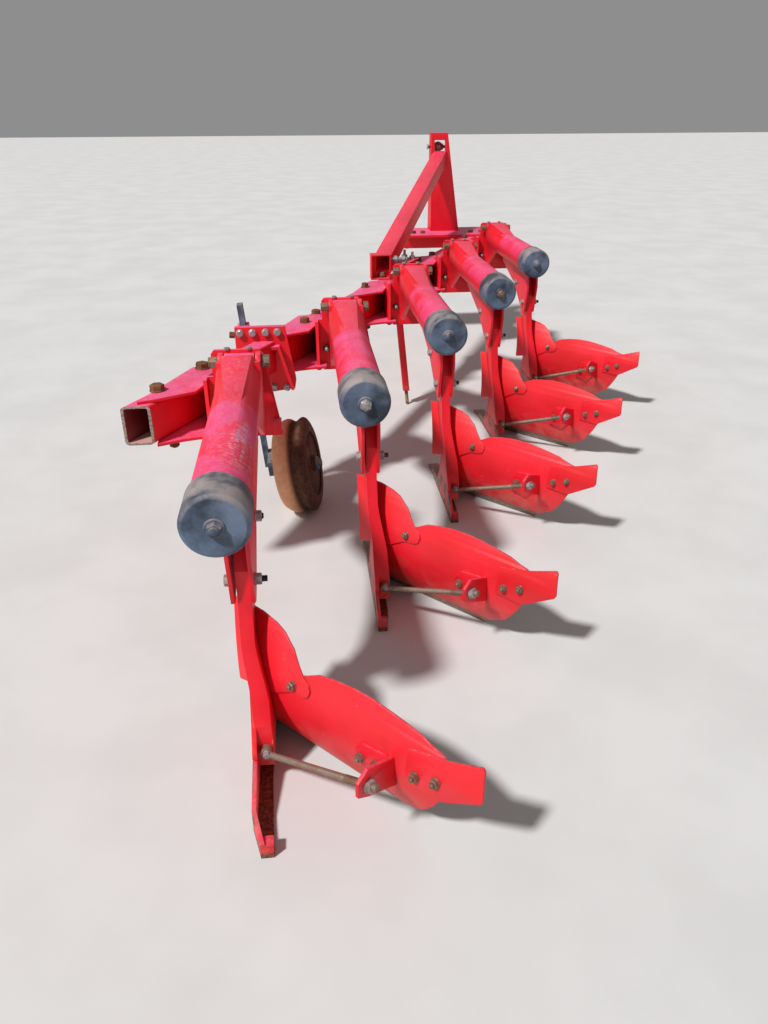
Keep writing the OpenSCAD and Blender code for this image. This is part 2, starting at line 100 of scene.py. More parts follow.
# The mouldboard's roll: the middle of its axis, the axis's turn, and the radius of the rear face
ROLL_CENTRE = Vector((596, -917, 285))
ROLL_TURN = math.radians(43.8 - 90)
MOULD_R = 450.3
TRASH_T = 6
TAIL_T = 8
LUG_T = 8
# The stay: its distance behind the roll's axis, and its ends as places along that axis and heights
STAY_OFF = 561
STAY_START = Vector((-168, 124))
STAY_END = Vector((283, 291))
# Places of the lug's flange along the roll's axis: the face towards the leg, and the one towards the tail
LUG_FLANGE = (237, 249)
# The wheel's rim: its inner radius, and the inner face of its right flange, to the right of the groove
RIM_INSIDE_R = 167
RIM_FLANGE = 54


# Places


def beside(k, x, y, z):
    """A place given in millimetres beside body k's pivot and above the ground, in the row frame."""
    return Vector((PIVOTS[k].x + x * MM, PIVOTS[k].y + y * MM, z * MM))


def model(x, y, z):
    """A place in the frame of the part's source, whose origin is the middle body's pivot."""
    return beside(MIDDLE_BODY, x, y, z)


def facing(place, direction, spin=0.0):
    """A frame at a place, in metres, with its z axis along a direction."""
    turn = Vector(direction).normalized().to_track_quat("Z", "Y").to_matrix().to_4x4()
    return spun(Matrix.Translation(place) @ turn, spin)


def spun(place, angle):
    return place @ Matrix.Rotation(angle, 4, "Z")


def lifted(place, millimetres):
    return place @ Matrix.Translation((0, 0, millimetres * MM))


def roll_axes():
    """The directions along the mouldboard's rolled axis and across it, towards the soil."""
    along = Vector((math.cos(ROLL_TURN), math.sin(ROLL_TURN), 0))
    across = Vector((-math.sin(ROLL_TURN), math.cos(ROLL_TURN), 0))
    return along, across


def on_mouldboard(k, s, z, proud):
    """The place and outward direction on the back of body k's mouldboard, at s along its roll."""
    along, across = roll_axes()
    radius = MOULD_R + proud
    rise = z - ROLL_CENTRE.z
    run = math.sqrt(radius**2 - rise**2)
    outward = -across * run + Vector((0, 0, rise))
    return beside(k, *(ROLL_CENTRE + along * s + outward)), outward


def on_stay(k, s):
    """The place on the middle line of body k's stay, at s along the roll."""
    along, across = roll_axes()
    share = (s - STAY_START.x) / (STAY_END.x - STAY_START.x)
    z = STAY_START.y + share * (STAY_END.y - STAY_START.y)
    foot = Vector((ROLL_CENTRE.x, ROLL_CENTRE.y, z))
    return beside(k, *(foot + along * s - across * STAY_OFF))


# Fasteners, built of turned or six-sided profiles

# Finishes, by their index in a fastener mesh
ZINC = 0
RUSTY = 1
BLACK = 2
DIRTY = 3
PAINTED = 4
RED_FINISH = 5

# Sides of a hexagon, a washer, a thread and other round forms
HEX_SIDES = 6
WASHER_SIDES = 28
THREAD_SIDES = 18
ROUND_SIDES = 32

# A hexagon's chamfer, as a share of its corner's radius, and how far it comes in for its height
HEX_CHAMFER = 0.1
CHAMFER_RUN = 1.6
# A washer's bevel as a share of its thickness
WASHER_BEVEL = 0.3
# Sizes of washers and threads, as shares of the size across the nut's flats
WASHER_THICKNESS = 0.11
WASHER_RADIUS = 0.62
THREAD_RADIUS = 0.31
# A thread's pitch, where its crest ends and its root lies in one turn, and the radius at root and tip
PITCH = 3.0
CREST_END = 0.3
ROOT_AT = 0.75
ROOT_RADIUS = 0.9
TIP_RADIUS = 0.8


class Fasteners:
    """One mesh of fasteners for one body. Forms stand on a place, with their sizes in millimetres."""

    def __init__(self, body):
        self.body = body
        self.mesh = bmesh.new()

    def ring(self, place, points):
        return [self.mesh.verts.new(place @ (Vector(point) * MM)) for point in points]

    def closed(self, rings, finish, smooth):
        """Joins rings of corners, from the foot to the top, and closes both ends."""
        faces = [self.mesh.faces.new(list(reversed(rings[0]))), self.mesh.faces.new(rings[-1])]
        for low, high in zip(rings, rings[1:]):
            for i in range(len(low)):
                j = (i + 1) % len(low)
                faces.append(self.mesh.faces.new((low[i], low[j], high[j], high[i])))
        for face in faces:
            face.material_index = finish
            face.smooth = smooth

    def turned(self, place, profile, sides, finish):
        """A round or many-sided form; profile is a list of (radius, height)."""
        angles = [2 * math.pi * i / sides for i in range(sides)]
        rings = []
        for radius, height in profile:
            points = [(math.cos(angle) * radius, math.sin(angle) * radius, height) for angle in angles]
            rings.append(self.ring(place, points))
        self.closed(rings, finish, sides > HEX_SIDES)

    def box(self, place, size, finish):
        """A box centred on its place; size is (width, length, height)."""
        width, length, height = size
        corners = ((-1, -1), (1, -1), (1, 1), (-1, 1))
        rings = []
        for z in (0, height):
            rings.append(self.ring(place, [(x * width / 2, y * length / 2, z) for x, y in corners]))
        self.closed(rings, finish, False)

    def hexagon(self, place, flats, height, finish):
        """A bare head or nut, by its size across the flats."""
        corner = flats / math.sqrt(3)
        chamfer = corner * HEX_CHAMFER
        profile = [(corner, 0), (corner, height - chamfer), (corner - chamfer * CHAMFER_RUN, height)]
        self.turned(place, profile, HEX_SIDES, finish)

    def washer(self, place, radius, thickness, finish):
        bevel = thickness * WASHER_BEVEL
        profile = [(radius, 0), (radius, thickness - bevel), (radius - bevel, thickness)]
        self.turned(place, profile, WASHER_SIDES, finish)

    def thread(self, place, radius, length, finish):
        """A threaded end: rings that rise and fall, and a small chamfer."""
        turns = max(1, int(length / PITCH))
        step = length / turns
        profile = [(radius, 0)]
        for turn in range(turns):
            profile.append((radius, (turn + CREST_END) * step))
            profile.append((radius * ROOT_RADIUS, (turn + ROOT_AT) * step))
        profile.append((radius * TIP_RADIUS, length))
        self.turned(place, profile, THREAD_SIDES, finish)

    def bolt(self, place, flats, height, finish):
        """A head on a washer that lies on a face."""
        washer = flats * WASHER_THICKNESS
        self.washer(place, flats * WASHER_RADIUS, washer, finish)
        self.hexagon(lifted(place, washer), flats, height, finish)

    def nut(self, place, flats, height, end, finish):
        """A nut on a washer, with the bolt's threaded end standing out of it."""
        self.bolt(place, flats, height, finish)
        top = flats * WASHER_THICKNESS + height
        self.thread(lifted(place, top), flats * THREAD_RADIUS, end, finish)

    def make_piece(self, materials):
        """Makes one piece of the mesh, which rides on its body."""
        name = f"fasteners_{self.body}"
        data = bpy.data.meshes.new(name)
        bmesh.ops.recalc_face_normals(self.mesh, faces=self.mesh.faces)
        self.mesh.to_mesh(data)
        self.mesh.free()
        for material in materials:
            data.materials.append(material)
        piece = bpy.data.objects.new(name, data)
        bpy.context.scene.collection.objects.link(piece)
        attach(piece, self.body)


# Node materials


def linear(red, green, blue):
    """A colour written as seen on screen, from 0 to 255, as the linear values that shaders take."""
    out = []
    for value in (red, green, blue):
        share = value / 255
        out.append(share / 12.92 if share <= 0.04045 else ((share + 0.055) / 1.055) ** 2.4)
    return (*out, 1.0)


class Shading:
    """A material and short names for the nodes that the looks are made of."""

    def __init__(self, name):
        self.material = bpy.data.materials.new(name)
        self.material.use_nodes = True
        self.tree = self.material.node_tree
        self.shader = self.tree.nodes["Principled BSDF"]
        self.coords = self.tree.nodes.new("ShaderNodeTexCoord")
        self.x, self.y, self.z = self.split("Object")
        self.face_x, self.face_y, self.face_z = self.split("Normal")

    def split(self, output):
        """The three parts of a place or of a direction, on the object itself."""
        node = self.tree.nodes.new("ShaderNodeSeparateXYZ")
        self.tree.links.new(self.coords.outputs[output], node.inputs[0])
        return node.outputs

    def feed(self, socket, value):
        if isinstance(value, bpy.types.NodeSocket):
            self.tree.links.new(value, socket)
        else:
            socket.default_value = value

    def stretched(self, scale):
        node = self.tree.nodes.new("ShaderNodeMapping")
        node.inputs["Scale"].default_value = scale
        self.tree.links.new(self.coords.outputs["Object"], node.inputs["Vector"])
        return node.outputs["Vector"]

    def noise(self, scale, detail=5.0, rough=0.6, stretch=None, distortion=0.0):
        node = self.tree.nodes.new("ShaderNodeTexNoise")
        node.inputs["Scale"].default_value = scale
        node.inputs["Detail"].default_value = detail
        node.inputs["Roughness"].default_value = rough
        node.inputs["Distortion"].default_value = distortion
        vector = self.stretched(stretch) if stretch else self.coords.outputs["Object"]
        self.tree.links.new(vector, node.inputs["Vector"])
        return node.outputs["Fac"]

    def math(self, operation, first, second=0.0):
        node = self.tree.nodes.new("ShaderNodeMath")
        node.operation = operation
        self.feed(node.inputs[0], first)
        self.feed(node.inputs[1], second)
        return node.outputs[0]

    def plus(self, *values):
        result = values[0]
        for value in values[1:]:
            result = self.math("ADD", result, value)
        return result

    def minus(self, first, second):
        return self.math("SUBTRACT", first, second)

    def times(self, *values):
        result = values[0]
        for value in values[1:]:
            result = self.math("MULTIPLY", result, value)
        return result

    def either(self, first, second):
        return self.math("MAXIMUM", first, second)

    def offsets(self, centre):
        """The distances from a centre, along each axis."""
        return [self.minus(value, middle) for value, middle in zip((self.x, self.y, self.z), centre)]

    def body_y(self):
        """The distance in front of a body's own trip pivot, for pieces near its middle line."""
        rear = PIVOTS[REAR_BODY]
        bodies_away = self.math("DIVIDE", self.minus(self.x, rear.x), STEP.x)
        steps = self.times(self.math("ROUND", bodies_away), STEP.y)
        return self.minus(self.minus(self.y, rear.y), steps)

    def band(self, value, low, high, to_low=0.0, to_high=1.0):
        """A smooth step of a value from one limit to another; the limits may fall."""
        node = self.tree.nodes.new("ShaderNodeMapRange")
        node.interpolation_type = "SMOOTHSTEP"
        self.feed(node.inputs["Value"], value)
        if low > high:
            low, high, to_low, to_high = high, low, to_high, to_low
        node.inputs["From Min"].default_value = low
        node.inputs["From Max"].default_value = high
        node.inputs["To Min"].default_value = to_low
        node.inputs["To Max"].default_value = to_high
        return node.outputs["Result"]

    def mix(self, share, first, second):
        node = self.tree.nodes.new("ShaderNodeMix")
        node.data_type = "RGBA"
        self.feed(node.inputs["Factor"], share)
        self.feed(node.inputs["A"], first)
        self.feed(node.inputs["B"], second)
        return node.outputs["Result"]

    def sharp_edges(self):
        """Where the surface turns sharply: the rounded normal departs from the flat one."""
        rounded = self.tree.nodes.new("ShaderNodeBevel")
        rounded.samples = 4
        rounded.inputs["Radius"].default_value = EDGE_REACH
        flat = self.tree.nodes.new("ShaderNodeNewGeometry")
        dot = self.tree.nodes.new("ShaderNodeVectorMath")
        dot.operation = "DOT_PRODUCT"
        self.tree.links.new(rounded.outputs["Normal"], dot.inputs[0])
        self.tree.links.new(flat.outputs["Normal"], dot.inputs[1])
        return self.band(dot.outputs["Value"], 0.97, 0.86)

    def bump(self, height, strength, distance):
        node = self.tree.nodes.new("ShaderNodeBump")
        node.inputs["Strength"].default_value = strength
        node.inputs["Distance"].default_value = distance
        self.feed(node.inputs["Height"], height)
        self.tree.links.new(node.outputs["Normal"], self.shader.inputs["Normal"])

    def surface(self, colour, roughness, metallic=0.0, specular=0.5):
        self.feed(self.shader.inputs["Base Color"], colour)
        self.feed(self.shader.inputs["Roughness"], roughness)
        self.feed(self.shader.inputs["Metallic"], metallic)
        self.shader.inputs["Specular IOR Level"].default_value = specular
        return self.material


RED = linear(234, 14, 42)
RED_DEEP = linear(212, 2, 24)
# Pink of sun-faded paint on faces that look up, with a painted sheen
RED_FADED_AND_SHEEN = linear(228, 90, 146)
# Pink of the canisters' tubes: sun-faded paint, with a painted sheen
RED_PINK_AND_SHEEN = linear(222, 74, 128)
PRIMER = linear(206, 170, 188)
RUST_DARK = linear(74, 42, 28)
RUST_BROWN = linear(132, 84, 54)
RUST_PALE = linear(176, 126, 88)
DUST = linear(196, 176, 150)
STEEL = linear(150, 146, 142)
SCOURED_DARK = linear(128, 120, 114)
SCOURED_PALE = linear(172, 166, 160)
SLATE = linear(94, 112, 136)
SLATE_DARK = linear(42, 52, 66)
SLATE_DUST = linear(158, 142, 134)
# Painted shade inside the beam's tube, darker on its walls than on faces towards its open end
INSIDE_PAINTED_SHADE = linear(14, 6, 6)
INSIDE_SHADED_RED = linear(110, 6, 18)
INSIDE_DUST = linear(196, 150, 140)
# Painted light and shade on the wheel: tan for its sunlit left, dark brown for its shaded right
WHEEL_PAINTED_LIGHT_TAN = linear(240, 178, 136)
WHEEL_PAINTED_SHADE_BROWN = linear(64, 38, 28)
FLOOR_DARK = (0.57, 0.56, 0.55, 1)
FLOOR_PALE = (0.62, 0.61, 0.60, 1)

# How far paint chips away beside an edge, in metres
EDGE_REACH = 0.004
# Share of dust all over a mouldboard
THIN_DUST = 0.02
# Share of pink on red faces that look up, from the open beam to the mouldboards: paint faded by the sun,
# with a painted sheen
FADE_AND_SHEEN_OPEN = 0.9
FADE_AND_SHEEN_ARM = 0.3
FADE_AND_SHEEN_KEPT = 0.25
FADE_AND_SHEEN_MOULD = 0.15
# The scuffed patch on the rear canister: its middle, and its reach along each axis in metres
SCUFF_PLACE = beside(REAR_BODY, 52, -820, 1005)
SCUFF_REACH = (0.042, 0.19, 0.06)
# How far the beam's bare end reaches in front of its cut face, in millimetres
BARE_DEPTH = 9
# Play between the beam's inner faces and the painted shade inside it, and the width of its soft edge, in
# metres
INSIDE_PLAY = 0.001
INSIDE_EDGE = 0.0005


class RedPaint(Shading):
    """Red paint in layers, each of which covers a share of those below it."""

    def __init__(self, name):
        super().__init__(name)
        self.wide = self.noise(2.6, 4, 0.55)
        self.middle = self.noise(13, 6, 0.62, distortion=0.4)
        self.fine = self.noise(85, 4, 0.6)
        self.upward = self.band(self.face_z, 0.6, 0.98)
        self.rusty = self.mix(self.band(self.fine, 0.4, 0.6), RUST_BROWN, RUST_DARK)
        self.colour = self.mix(self.band(self.wide, 0.35, 0.68), RED_DEEP, RED)
        self.metallic = 0.0

    def cover(self, share, colour):
        self.colour = self.mix(share, self.colour, colour)

    def fade(self, most):
        """The faces that look up are pinker, more in some places than in others: paint faded by the sun,
        with a painted sheen.
        """
        patchy = self.band(self.middle, 0.28, 0.66, 0.5, 1.0)
        self.cover(self.times(self.upward, patchy, most), RED_FADED_AND_SHEEN)

    def wear(self):
        """Dust on top and near the ground, scratches, and rust at chipped edges and specks."""
        on_top = self.times(self.upward, self.band(self.fine, 0.42, 0.72), 0.22)
        near_ground = self.times(self.band(self.z, 0.24, 0.02), self.band(self.middle, 0.38, 0.66), 0.3)
        dust = self.either(on_top, near_ground)
        self.cover(dust, DUST)
        streaks = self.noise(30, 4, 0.7, stretch=(1.0, 0.12, 0.5))
        self.cover(self.times(self.band(streaks, 0.70, 0.76), self.band(self.wide, 0.45, 0.6), 0.7), PRIMER)
        worn = self.times(self.sharp_edges(), self.band(self.middle, 0.46, 0.6))
        specks = self.times(self.band(self.noise(55, 3, 0.5), 0.70, 0.74), self.band(self.wide, 0.4, 0.62))
        chips = self.either(worn, specks)
        self.cover(self.times(chips, 0.85), self.rusty)
        self.rough = self.band(self.either(dust, chips), 0.0, 0.5, 0.48, 0.78)

    def finished(self):
        self.bump(self.plus(self.times(self.noise(420, 2, 0.5), 0.25), self.middle), 0.25, 0.0012)
        return self.surface(self.colour, self.rough, self.metallic)


def red_paint(name, fade, below_wear=None, above_wear=None):
    """Worn red paint; the last two are functions that lay one more layer each."""
    look = RedPaint(name)
    look.fade(fade)
    if below_wear:
        below_wear(look)
    look.wear()
    if above_wear:
        above_wear(look)
    return look.finished()


def canister_fade_and_sheen(look):
    """The canisters' tubes are pink behind the heads, most on their upper sides, in clouds that leave
    redder patches: paint faded by the sun, with a painted sheen.
    """
    tube = look.band(look.body_y(), HEAD_BACK * MM + 0.01, HEAD_BACK * MM - 0.01)
    clouds = look.band(look.noise(4.2, 5, 0.6, distortion=0.9), 0.40, 0.62, 0.12, 1.0)
    sunny = look.band(look.face_z, -0.25, 0.75)
    look.cover(look.times(tube, clouds, sunny, 0.85), RED_PINK_AND_SHEEN)


def scuffs(look):
    """A rubbed patch on the rear canister: rows of short pale lines round a place on its surface."""
    away = look.offsets(SCUFF_PLACE)
    shares = [look.math("DIVIDE", distance, reach) for distance, reach in zip(away, SCUFF_REACH)]
    patch = look.band(look.plus(*[look.times(share, share) for share in shares]), 1.5, 0.3)
    lines = look.band(look.noise(30, 3, 0.6, stretch=(0.8, 5.5, 0.8)), 0.48, 0.60)
    rows = look.band(look.noise(60, 2, 0.5, stretch=(1.0, 0.1, 1.0)), 0.40, 0.56)
    faint = look.times(look.band(look.fine, 0.52, 0.64), 0.35)
    pale = look.times(patch, look.either(look.times(lines, rows), faint))
    look.cover(look.times(pale, 0.85), PRIMER)


def rubbed_landside(look):
    """Paint rubbed off along the furrow wall and on the sole, in patches that have rusted."""
    patches = look.times(look.band(look.noise(11, 6, 0.68), 0.44, 0.54), look.band(look.face_x, 0.3, -0.5))
    look.cover(look.either(patches, look.band(look.z, 0.03, 0.01)), look.rusty)


def bare_beam_end(look):
    """The beam's rear end: bare steel round its cut face, and painted shade inside."""
    painted_shade_inside(look)
    cut = PIVOTS[REAR_BODY].y + (BEAM_REAR + BARE_DEPTH) * MM
    ragged = look.plus(look.y, look.band(look.middle, 0.2, 0.8, -0.012, 0.012))
    bare = look.times(look.band(ragged, cut + 0.004, cut), look.band(look.face_y, -0.6, -0.8))
    steel = look.mix(look.band(look.fine, 0.4, 0.65), STEEL, RUST_BROWN)
    look.cover(bare, look.mix(look.band(look.middle, 0.62, 0.7), steel, RED_FADED_AND_SHEEN))


def painted_shade_inside(look):
    """Painted shade inside the beam's tube: darkest on its walls, dim red on faces towards the open end,
    with dust on its floor.
    """
    ahead = look.minus(look.y, PIVOTS[REAR_BODY].y)
    beam_x = look.plus(look.times(ahead, math.tan(BEAM_TURN)), PIVOTS[REAR_BODY].x + BEAM_CENTRE_X * MM)
    across = look.math("ABSOLUTE", look.times(look.minus(look.x, beam_x), math.cos(BEAM_TURN)))
    up = look.math("ABSOLUTE", look.minus(look.z, BEAM_MID_Z * MM))
    half_w, half_h = (half * MM + INSIDE_PLAY for half in BEAM_INSIDE)
    inside = look.times(
        look.band(across, half_w + INSIDE_EDGE, half_w), look.band(up, half_h + INSIDE_EDGE, half_h)
    )
    shaded_walls = look.mix(look.band(look.face_y, -0.2, -0.4), INSIDE_PAINTED_SHADE, INSIDE_SHADED_RED)
    look.cover(inside, look.mix(look.band(look.face_z, 0.4, 0.8), shaded_walls, INSIDE_DUST))


def polished_soil_side(look):
    """The soil's side of a mouldboard: bare steel scoured by the soil, with a film of rust."""
    look.cover(THIN_DUST, DUST)
    across = roll_axes()[1]
    side = look.plus(look.times(look.face_x, across.x), look.times(look.face_y, across.y))
    bare = look.band(side, 0.05, 0.25)
    lines = look.noise(18, 4, 0.6, stretch=(1.0, 1.0, 3.0))
    steel = look.mix(look.band(lines, 0.35, 0.65), SCOURED_DARK, SCOURED_PALE)
    steel = look.mix(look.times(look.band(look.middle, 0.46, 0.7), 0.75), steel, RUST_PALE)
    steel = look.mix(look.times(look.band(look.wide, 0.5, 0.75), 0.5), steel, RUST_BROWN)
    look.cover(bare, steel)
    scoured = look.band(look.fine, 0.3, 0.7, 0.32, 0.55)
    look.rough = look.plus(look.times(look.rough, look.minus(1.0, bare)), look.times(scoured, bare))
    look.metallic = look.times(bare, 0.75)


def slate_paint(name):
    """Blue-grey paint, dusty and brown on top, with a few chips."""
    look = Shading(name)
    wide = look.noise(6, 4, 0.6)
    middle = look.noise(24, 6, 0.65, distortion=0.6)
    fine = look.noise(120, 4, 0.6)
    colour = look.mix(look.band(wide, 0.35, 0.65), SLATE_DARK, SLATE)
    upward = look.band(look.face_z, -0.1, 0.8)
    patchy = look.times(look.band(wide, 0.36, 0.58, 0.12, 1.0), look.band(middle, 0.2, 0.6, 0.5, 1.0))
    colour = look.mix(look.times(upward, patchy, 0.85), colour, SLATE_DUST)
    colour = look.mix(look.times(look.band(fine, 0.6, 0.8), 0.18), colour, DUST)
    worn = look.times(look.sharp_edges(), look.band(middle, 0.44, 0.58))
    chips = look.either(worn, look.band(look.noise(60), 0.72, 0.76))
    colour = look.mix(look.times(chips, 0.8), colour, RUST_BROWN)
    look.bump(look.plus(look.times(fine, 0.4), middle), 0.3, 0.001)
    return look.surface(colour, look.band(middle, 0.3, 0.7, 0.42, 0.68), specular=0.35)


def rust(name, dark=0.0, wheel=False):
    """Brown rust, from dark pits to a pale orange bloom; dark is a share of dark rust over it all. With
    wheel, the wheel's painted light and shade lie over the rust.
    """
    look = Shading(name)
    wide = look.noise(7, 5, 0.6)
    middle = look.noise(34, 7, 0.7, distortion=0.5)
    fine = look.noise(210, 5, 0.65)
    colour = look.mix(look.band(middle, 0.32, 0.62), RUST_DARK, RUST_BROWN)
    bloom = look.times(look.band(wide, 0.42, 0.66), look.band(fine, 0.35, 0.6), 0.85)
    colour = look.mix(bloom, colour, RUST_PALE)
    near_ground = look.times(look.band(look.z, 0.12, 0.01), look.band(middle, 0.35, 0.6), 0.5)
    colour = look.mix(near_ground, colour, DUST)
    if dark > 0:
        colour = look.mix(dark, colour, RUST_DARK)
    # On the wheel, painted light and shade over the rust
    if wheel:
        colour = look.mix(look.band(middle, 0.3, 0.7, 0.95, 0.65), colour, wheel_painted_light_and_shade(look))
    look.bump(look.plus(look.times(fine, 0.6), middle), 0.55, 0.0016)
    return look.surface(colour, look.band(fine, 0.3, 0.7, 0.7, 0.92), specular=0.35)


def wheel_painted_light_and_shade(look):
    """Painted light and shade on the wheel: tan for its sunlit left, dark brown for its shaded right, by
    the distance along its axle.
    """
    parts = [look.times(away, share) for away, share in zip(look.offsets(WHEEL_PLACE), WHEEL_AXIS)]
    return look.mix(look.band(look.plus(*parts), -0.034, -0.008), WHEEL_PAINTED_LIGHT_TAN, WHEEL_PAINTED_SHADE_BROWN)


def worn_steel(name, base, film):
    """Bare steel gone dull, with a film of rust."""
    look = Shading(name)
    wide = look.noise(9, 5, 0.6)
    middle = look.noise(60, 6, 0.65)
    fine = look.noise(300, 3, 0.6)
    colour = look.mix(look.band(middle, 0.35, 0.62), base, film)
    colour = look.mix(look.times(look.band(wide, 0.52, 0.7), 0.7), colour, RUST_BROWN)
    look.bump(look.plus(look.times(fine, 0.5), middle), 0.35, 0.0007)
    metallic = look.band(middle, 0.62, 0.35, 0.25, 0.8)
    return look.surface(colour, look.band(middle, 0.3, 0.7, 0.38, 0.66), metallic)


def pale_floor():
    look = Shading("pale_floor")
    colour = look.mix(look.band(look.noise(1.5, 3), 0.3, 0.7), FLOOR_DARK, FLOOR_PALE)
    return look.surface(colour, 0.9, specular=0.2)


RED_OPEN = red_paint("red_paint", FADE_AND_SHEEN_OPEN)
RED_KEPT = red_paint("red_paint_kept", FADE_AND_SHEEN_KEPT)
RED_ARM = red_paint("red_paint_arm", FADE_AND_SHEEN_ARM, below_wear=canister_fade_and_sheen)
RED_SCUFFED = red_paint("red_paint_scuffed", FADE_AND_SHEEN_ARM, below_wear=canister_fade_and_sheen, above_wear=scuffs)
RED_BARE_END = red_paint("red_paint_bare_end", FADE_AND_SHEEN_OPEN, above_wear=bare_beam_end)
RED_MOULD = red_paint("red_mouldboard", FADE_AND_SHEEN_MOULD, above_wear=polished_soil_side)
RED_RUBBED = red_paint("red_paint_rubbed", FADE_AND_SHEEN_ARM, above_wear=rubbed_landside)
SLATE_PAINT = slate_paint("slate_paint")
RUSTY_STEEL = rust("rusty_steel")
WHEEL_RUST_AND_PAINTED_SHADE = rust("wheel_rust_and_painted_shade", wheel=True)
DARK_RUST = rust("dark_rust", dark=0.45)
WORN_STEEL = worn_steel("worn_steel", linear(150, 138, 130), linear(126, 98, 80))
ZINC_PLATE = worn_steel("zinc_plate", linear(180, 182, 184), linear(140, 134, 128))
BLACK_STEEL = worn_steel("black_steel", linear(42, 42, 50), linear(30, 26, 28))
DIRTY_STEEL = worn_steel("dirty_steel", linear(150, 132, 116), linear(112, 86, 70))

# In the order of the finishes' indexes
FASTENER_FINISHES = [ZINC_PLATE, DARK_RUST, BLACK_STEEL, DIRTY_STEEL, SLATE_PAINT, RED_OPEN]


# The CAD pieces, with their edges rounded a little

SLOT_MATERIALS = {
    "red_paint": RED_OPEN,
    "slate_paint": SLATE_PAINT,
    "rusty_steel": RUSTY_STEEL,
    "worn_steel": WORN_STEEL,
}
# Looks of their own, by a node's whole name or its first word
OWN_MATERIALS = {
    "arm_1": RED_SCUFFED,
    "arm": RED_ARM,
    "beam_rear": RED_BARE_END,
    "brace": RED_KEPT,
    "leg": RED_KEPT,
    "lug": RED_KEPT,
    "landside": RED_RUBBED,
    "mouldboard": RED_MOULD,
    "depth_wheel": WHEEL_RUST_AND_PAINTED_SHADE,
}
# Widths of the rounded edges in millimetres, by a node's first word
EDGE_WIDTHS = {
    "cap": 3.0,
    "share": 1.0,
    "mouldboard": 1.2,
    "stay": 1.0,
    "landside": 1.5,
    "stand": 1.0,
    "lug": 1.5,
}
EDGE_WIDTH = 2.0
# Corners closer than this, in metres, are one, and faces that turn less than this are one
SAME_CORNER = 0.00002
SAME_FACE = math.radians(0.6)
# Edges that turn more than this are rounded
SHARP = math.radians(32)


def own_material(node):
    kind = node.split("_")[0]
    return OWN_MATERIALS.get(node) or OWN_MATERIALS.get(kind) or SLOT_MATERIALS[SLOTS[node]]


def cleaned_mesh(source):
    """A copy of a node's mesh, without doubled corners and without edges across flat faces."""
    data = source.data.copy()
    mesh = bmesh.new()
    mesh.from_mesh(data)
    bmesh.ops.remove_doubles(mesh, verts=mesh.verts, dist=SAME_CORNER)
    bmesh.ops.dissolve_limit(
        mesh, angle_limit=SAME_FACE, verts=mesh.verts, edges=mesh.edges, delimit=set()
    )
    for face in mesh.faces:
        face.smooth = True
    mesh.to_mesh(data)
    mesh.free()
    return data


def rounded_copy(node):
    """Stands for a CAD node: the same form, with its sharp edges rounded."""
    source = frame["nodes"][node]
    data = cleaned_mesh(source)
    data.materials.clear()
    data.materials.append(own_material(node))
    piece = bpy.data.objects.new(f"{node}_rounded", data)
    bpy.context.scene.collection.objects.link(piece)
    bevel = piece.modifiers.new("round_edges", "BEVEL")
    bevel.width = EDGE_WIDTHS.get(node.split("_")[0], EDGE_WIDTH) * MM
    bevel.segments = 2
    bevel.limit_method = "ANGLE"
    bevel.angle_limit = SHARP
    bevel.harden_normals = True
    bevel.use_clamp_overlap = True
    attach(piece, source["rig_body"])
    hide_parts(node)


for node_name in sorted(frame["nodes"]):
    rounded_copy(node_name)


# Fasteners of one trip body, in millimetres beside its pivot

# Faces that they lie on, a hair outside the solids
EAR_LEFT = -80.4
EAR_RIGHT = 84.4
CHEEK_LEFT = -5.4
CHEEK_RIGHT = 69.4
CAP_BACK = -1215.2
EYE_BACK = -1192.2

# Ends of the pivot bolt: x, direction, washer's radius, size across the flats, height, turn
PIVOT_ENDS = ((EAR_LEFT, LEFT, 25, 40, 34, 0.3), (EAR_RIGHT, RIGHT, 26, 42, 30, 0.1))
PIVOT_WASHER_T = 4
# The boss in the middle of the cap, and the rounded end of its bolt, as profiles of (radius, height)
CAP_BOSS = [(29, 0), (28, 2.5), (24, 4)]
CAP_BOLT_END = [(15, 0), (15, 3), (13, 5)]
CAP_NUT_FINISHES = {1: PAINTED, 2: ZINC, 3: PAINTED, 4: DIRTY, 5: PAINTED}
# Bolts through the cheeks and the leg: y, z, and the length of the black end past the nut
LEG_BOLTS = ((-985, 641, 16), (-770, 742, 5))
# Nuts on the mouldboard's back: s and z on its roll, thickness of what they hold, and the bolt's end
MOULD_NUTS = (
    (-149, 338, TRASH_T, 8),
    (329, 283, TAIL_T, 8),
    (398, 307, TAIL_T, 8),
    (125, 221, LUG_T, 7),
    (187, 232, LUG_T, 7),
)
# The bolt in the eye at the stay's end
EYE_X = 74
EYE_Z = 136

# Heads and nuts: (across the flats, height), and for a nut the bolt's end beyond it
CAP_NUT = (38, 16)
LEG_HEAD = (32, 14)
LEG_NUT = (32, 18, 0.5)
MOULD_NUT = (25, 12)
STAY_NUT = (34, 15)
STAY_INNER_NUT = (34, 13)
EYE_HEAD = (20, 12)


def pivot_ends(group, k):
    for x, direction, washer_r, flats, height, turn in PIVOT_ENDS:
        end = facing(beside(k, x, 0, PIVOT_Z), direction)
        group.washer(end, washer_r, PIVOT_WASHER_T, RUSTY)
        group.hexagon(spun(lifted(end, PIVOT_WASHER_T), turn), flats, height, DIRTY)


def cap_bolt(group, k):
    boss_t = CAP_BOSS[-1][1]
    middle = facing(beside(k, 0, CAP_BACK, CANISTER_Z), BACK, 0.4)
    finish = CAP_NUT_FINISHES[k]
    group.turned(middle, CAP_BOSS, ROUND_SIDES, PAINTED)
    group.hexagon(lifted(middle, boss_t), *CAP_NUT, finish)
    group.turned(lifted(middle, boss_t + CAP_NUT[1]), CAP_BOLT_END, 24, finish)


